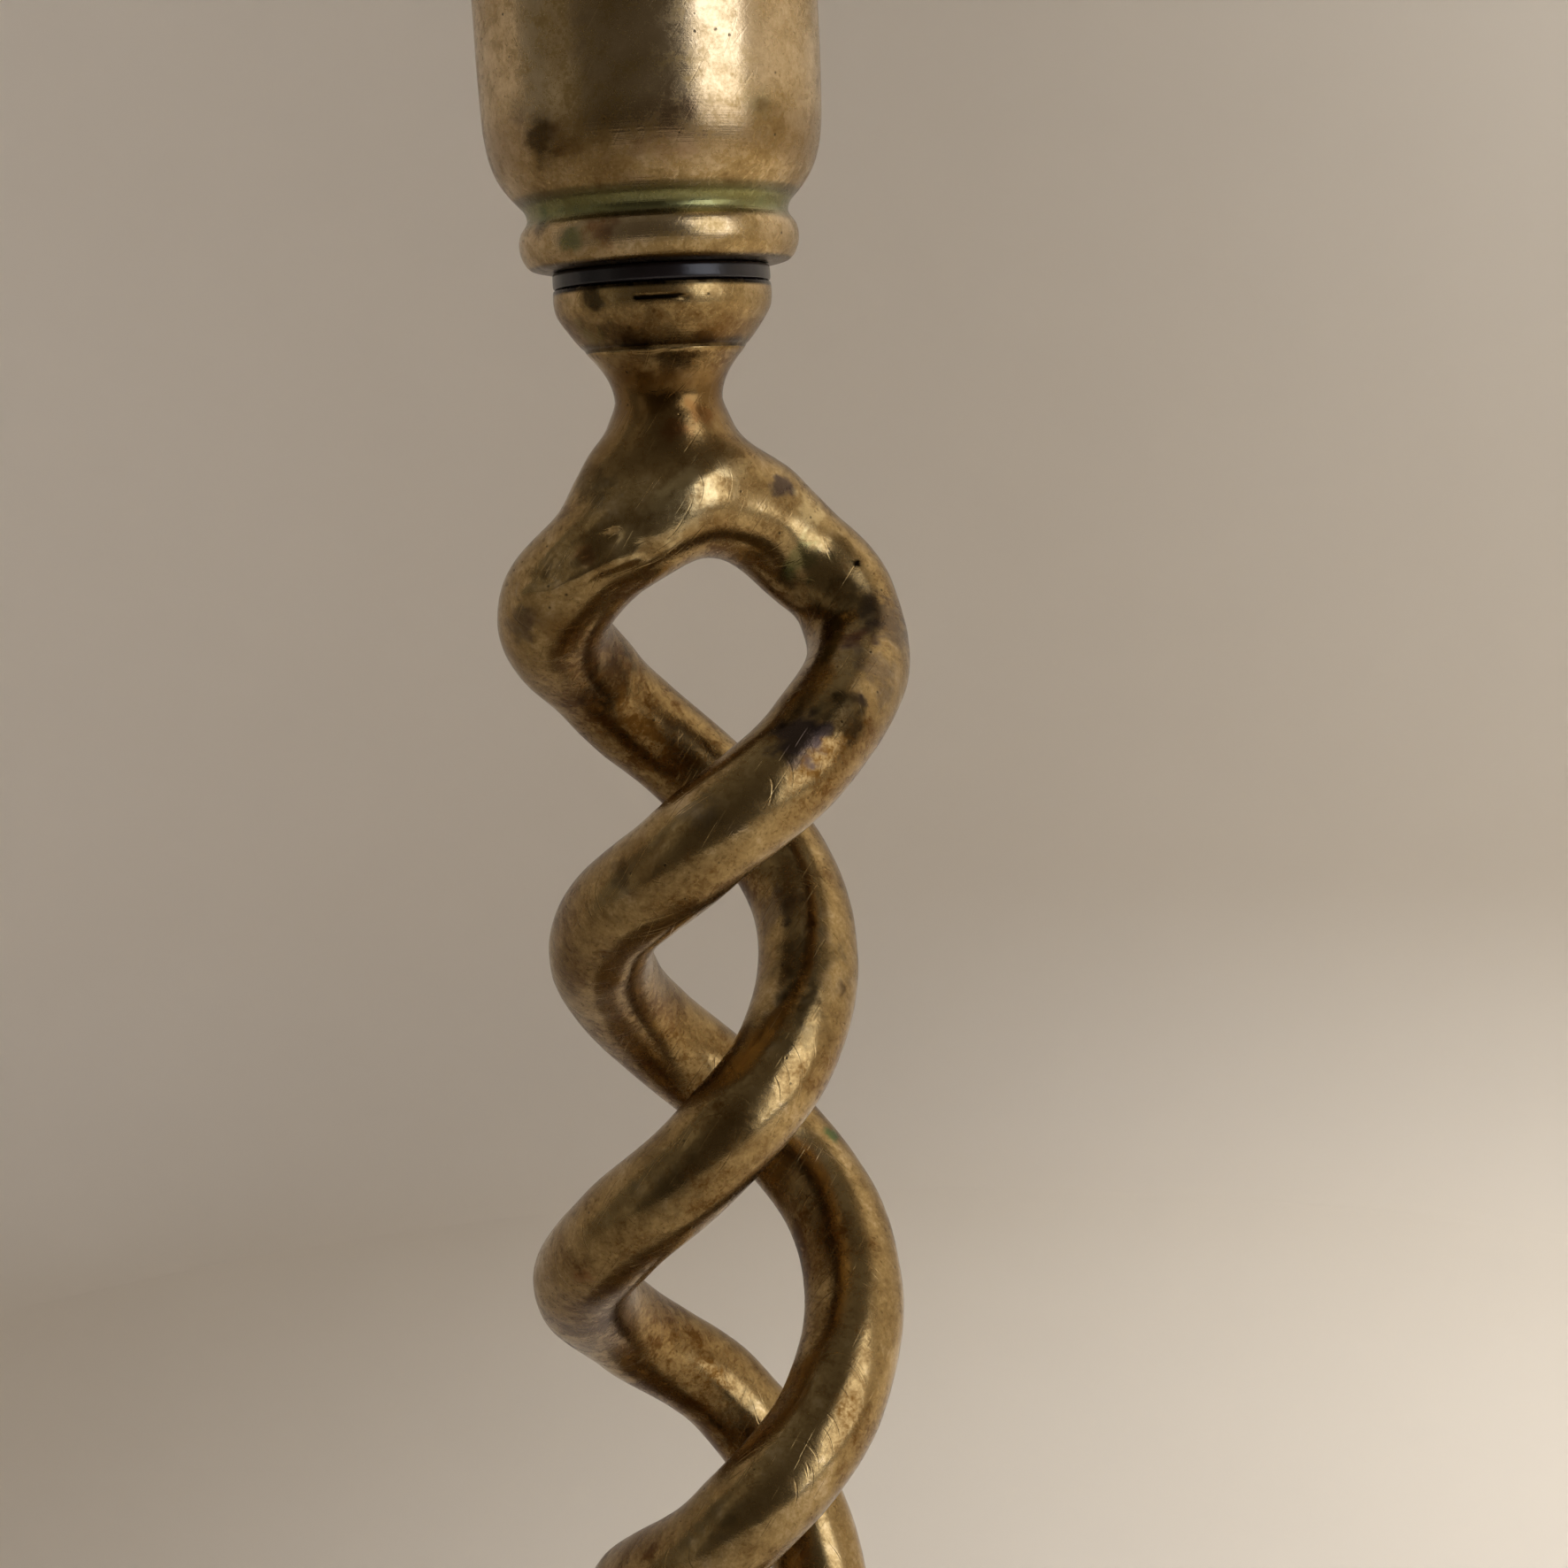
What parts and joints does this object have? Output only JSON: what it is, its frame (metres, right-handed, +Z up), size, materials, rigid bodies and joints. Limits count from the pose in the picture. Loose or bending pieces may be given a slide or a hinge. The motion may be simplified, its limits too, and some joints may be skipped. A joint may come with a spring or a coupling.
{
  "type": "candlestick",
  "caption": "Aged brass candlestick with an open twist of round rods between a turned candle cup that screws off and a stepped round foot.",
  "frame": {"origin": "centre of the foot's underside, on the table", "axes": "+Z up along the stem, -Y towards the viewer in the picture, +X to the viewer's right"},
  "size_m": [0.108, 0.108, 0.261],
  "materials": {
    "cup_brass": "aged, satin, fine lathe lines",
    "stem_brass": "aged, satin, brown tarnish",
    "foot_brass": "aged, satin",
    "blackened_brass": "black tarnish, glossy",
    "stud_steel": "dull, oiled"
  },
  "bodies": {
    "stick": {"upper_fork": "stem_brass", "right_strand": "stem_brass", "left_strand": "stem_brass", "lower_fork": "stem_brass", "cup_stud": "stud_steel", "foot_stud": "stud_steel", "foot": "foot_brass", "foot_washer": "stud_steel", "foot_nut": "stud_steel"},
    "seat_ring": {"seat_washer": "blackened_brass"},
    "cup": {"candle_cup": "cup_brass"}
  },
  "joints": [
    {"name": "cup_rise", "type": "slide", "parent": "stick", "child": "seat_ring", "axis": [0, 0, 1], "range_m": [0, 0.0075]},
    {"name": "cup_turn", "type": "hinge", "parent": "seat_ring", "child": "cup", "pos_m": [0, 0, 0.215], "axis": [0, 0, 1], "range_deg": [0, 2170]}
  ],
  "couplings": [
    {"joint": "cup_turn", "follows": "cup_rise", "rad_per_m": 5026.5}
  ]
}
